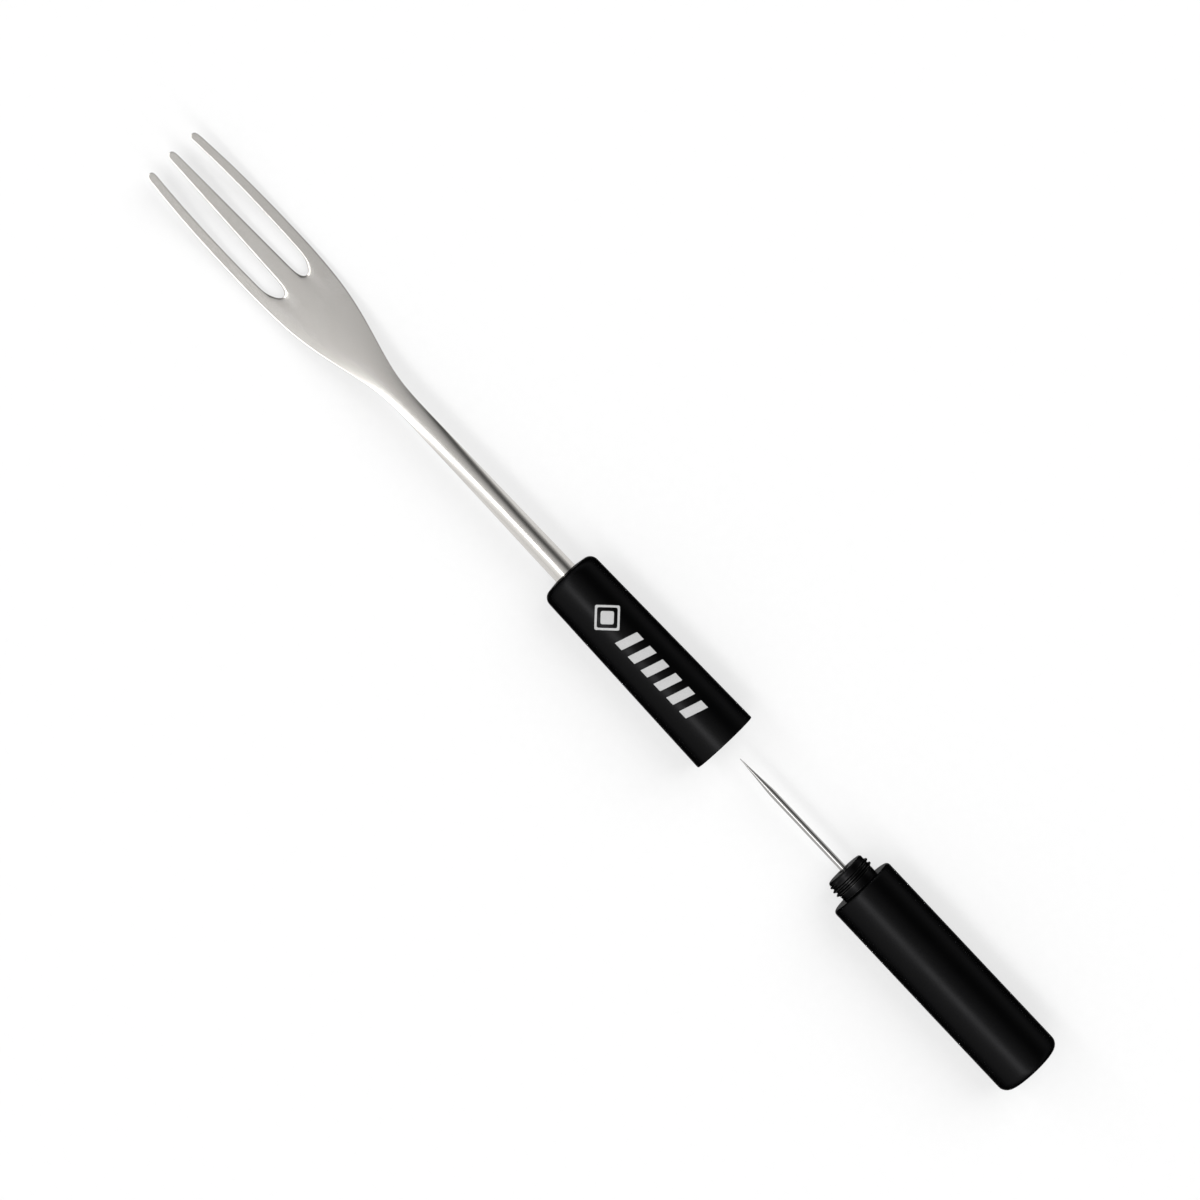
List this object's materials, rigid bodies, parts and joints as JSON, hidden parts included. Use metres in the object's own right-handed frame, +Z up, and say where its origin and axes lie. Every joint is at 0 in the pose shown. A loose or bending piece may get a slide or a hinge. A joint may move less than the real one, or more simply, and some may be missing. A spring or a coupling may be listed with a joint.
{
  "type": "marshmallow roasting fork",
  "caption": "Slim three-tined steel fork in a black two-part handle; the rear handle unscrews and draws out a hidden steel needle.",
  "frame": {"origin": "middle of the whole tool's length and width at rest, on the surface that it lies on", "axes": "+X along the tool from the tines to the domed end, +Z up, out of the surface that it lies on"},
  "size_m": [0.2572, 0.016, 0.015],
  "materials": {
    "fork_steel": "fine satin stainless steel",
    "needle_steel": "drawn and ground stainless steel",
    "black_anodised": "bead-blasted, black anodised aluminium",
    "grey_print": "thin light grey pad print"
  },
  "bodies": {
    "front": {"fork": "fork_steel", "front_handle": "black_anodised"},
    "needle": {"needle": "needle_steel"},
    "rear": {"rear_handle": "black_anodised"}
  },
  "joints": [
    {"name": "rear_half_slide", "type": "slide", "parent": "front", "child": "needle", "axis": [1, 0, 0], "range_m": [-0.0403, 0]},
    {"name": "rear_handle_turn", "type": "hinge", "parent": "needle", "child": "rear", "pos_m": [0.102, 0, 0.0075], "axis": [1, 0, 0], "range_deg": [-14508, 0]}
  ],
  "couplings": [
    {"joint": "rear_handle_turn", "follows": "rear_half_slide", "rad_per_m": 6283.2}
  ]
}
